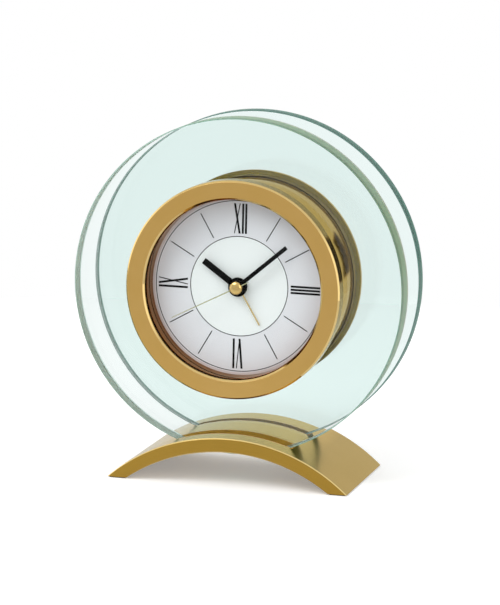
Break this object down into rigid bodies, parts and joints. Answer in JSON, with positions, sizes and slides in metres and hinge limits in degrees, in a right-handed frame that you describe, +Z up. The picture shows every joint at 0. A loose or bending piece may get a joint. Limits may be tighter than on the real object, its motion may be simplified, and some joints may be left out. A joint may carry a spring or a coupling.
{
  "type": "desk alarm clock",
  "caption": "Desk alarm clock: two round glass discs on an arched metal base, joined by a gold drum with dial, hands and a battery movement set by knobs at the rear.",
  "frame": {"origin": "on the floor, under the middle of the base", "axes": "+Z up, the dial faces -Y, +X to the right as the dial is read"},
  "size_m": [0.15, 0.066, 0.1626],
  "materials": {
    "tinted_glass": "polished, faint green tint, bevelled edge",
    "lens_glass": "clear, polished",
    "satin_gold": "satin gold plate with polished bevels",
    "polished_gold": "polished gold plate",
    "brushed_gold": "brushed gold plate",
    "slot_liner": "amber silicone",
    "black_rubber": "matt",
    "felt": "pressed felt",
    "dial_silver": "silver-white, fine matt",
    "dial_ink": "printed dark grey",
    "black_hand": "satin black",
    "gold_hand": "gold plate",
    "black_plastic": "fine texture",
    "grey_plastic": "moulded",
    "white_plastic": "moulded acetal",
    "brass_part": "turned and cut",
    "steel_part": "plated",
    "magnet": "sintered",
    "copper_wire": "lacquered winding",
    "circuit_green": "solder mask",
    "chip_black": "moulded",
    "cell_jacket": "plain printed jacket, no name",
    "knob_plastic": "moulded black"
  },
  "bodies": {
    "case": {"base_arch": "brushed_gold", "front_slot_liner": "slot_liner", "rear_slot_liner": "slot_liner", "foot_pads": "felt", "front_glass_disc": "tinted_glass", "rear_glass_disc": "tinted_glass", "drum_tube": "polished_gold", "front_bezel": "satin_gold", "front_disc_gasket": "black_rubber", "rear_disc_gasket": "black_rubber", "lens": "lens_glass", "lens_seal": "black_rubber", "reflector_ring": "polished_gold", "dial_plate": "dial_silver", "dial_markings": "dial_ink", "movement_holder": "black_plastic", "movement_front_plate": "grey_plastic", "movement_middle_plate": "grey_plastic", "movement_housing": "grey_plastic", "movement_screws": "steel_part", "minute_wheel_stud": "steel_part", "stator_plate": "steel_part", "coil_bobbin": "white_plastic", "coil_winding": "copper_wire", "circuit_board": "circuit_green", "quartz_crystal": "steel_part", "control_chip": "chip_black", "buzzer": "black_plastic", "battery_cell": "cell_jacket", "positive_contact": "steel_part", "negative_contact": "steel_part", "rear_flange": "satin_gold", "rear_cover": "black_plastic", "cover_screws": "steel_part"},
    "seconds": {"second_hand": "gold_hand", "seconds_wheel": "white_plastic"},
    "rotor": {"rotor_magnet": "magnet", "rotor_pinion": "white_plastic"},
    "fifth": {"fifth_wheel": "white_plastic"},
    "third": {"third_wheel": "white_plastic"},
    "centre": {"centre_wheel": "white_plastic"},
    "time_set": {"time_set_arbor": "white_plastic", "time_set_knob": "knob_plastic"},
    "minute_gear": {"minute_wheel": "white_plastic"},
    "minute": {"minute_hand": "black_hand", "minute_pipe": "brass_part"},
    "hour": {"hour_hand": "black_hand", "hour_wheel": "white_plastic"},
    "alarm_set": {"alarm_set_arbor": "white_plastic", "alarm_set_knob": "knob_plastic"},
    "alarm": {"alarm_hand": "gold_hand", "alarm_wheel": "white_plastic"},
    "switch": {"alarm_switch": "knob_plastic"},
    "door": {"battery_door": "black_plastic"}
  },
  "joints": [
    {"name": "second_hand_turn", "type": "hinge", "parent": "case", "child": "seconds", "pos_m": [0, 0, 0.0876], "axis": [0, 1, 0], "continuous": true},
    {"name": "rotor_turn", "type": "hinge", "parent": "case", "child": "rotor", "pos_m": [-0.01849, 0, 0.07999], "axis": [0, 1, 0], "continuous": true},
    {"name": "fifth_wheel_turn", "type": "hinge", "parent": "case", "child": "fifth", "pos_m": [-0.00987, 0, 0.08401], "axis": [0, 1, 0], "continuous": true},
    {"name": "third_wheel_turn", "type": "hinge", "parent": "case", "child": "third", "pos_m": [0.0115, 0, 0.08341], "axis": [0, 1, 0], "continuous": true},
    {"name": "centre_wheel_turn", "type": "hinge", "parent": "case", "child": "centre", "pos_m": [0, 0, 0.0876], "axis": [0, 1, 0], "continuous": true},
    {"name": "time_set_turn", "type": "hinge", "parent": "case", "child": "time_set", "pos_m": [0.012, 0, 0.10838], "axis": [0, 1, 0], "continuous": true},
    {"name": "minute_wheel_turn", "type": "hinge", "parent": "case", "child": "minute_gear", "pos_m": [0.006, 0, 0.09799], "axis": [0, 1, 0], "continuous": true},
    {"name": "minute_hand_turn", "type": "hinge", "parent": "case", "child": "minute", "pos_m": [0, 0, 0.0876], "axis": [0, 1, 0], "continuous": true},
    {"name": "hour_hand_turn", "type": "hinge", "parent": "case", "child": "hour", "pos_m": [0, 0, 0.0876], "axis": [0, 1, 0], "continuous": true},
    {"name": "alarm_set_turn", "type": "hinge", "parent": "case", "child": "alarm_set", "pos_m": [-0.00682, 0, 0.09941], "axis": [0, 1, 0], "continuous": true},
    {"name": "alarm_hand_turn", "type": "hinge", "parent": "case", "child": "alarm", "pos_m": [0, 0, 0.0876], "axis": [0, 1, 0], "continuous": true},
    {"name": "alarm_switch_slide", "type": "slide", "parent": "case", "child": "switch", "axis": [0, 0, 1], "range_m": [0, 0.005]},
    {"name": "battery_door_slide", "type": "slide", "parent": "case", "child": "door", "axis": [0, 1, 0], "range_m": [0, 0.02]}
  ],
  "couplings": [
    {"joint": "fifth_wheel_turn", "follows": "second_hand_turn", "ratio": -4},
    {"joint": "rotor_turn", "follows": "second_hand_turn", "ratio": 30},
    {"joint": "third_wheel_turn", "follows": "second_hand_turn", "ratio": -0.125},
    {"joint": "centre_wheel_turn", "follows": "second_hand_turn", "ratio": 0.016667},
    {"joint": "minute_wheel_turn", "follows": "time_set_turn", "ratio": -0.33333},
    {"joint": "minute_hand_turn", "follows": "time_set_turn", "ratio": 1},
    {"joint": "hour_hand_turn", "follows": "time_set_turn", "ratio": 0.083333},
    {"joint": "alarm_hand_turn", "follows": "alarm_set_turn", "ratio": -0.29167}
  ]
}
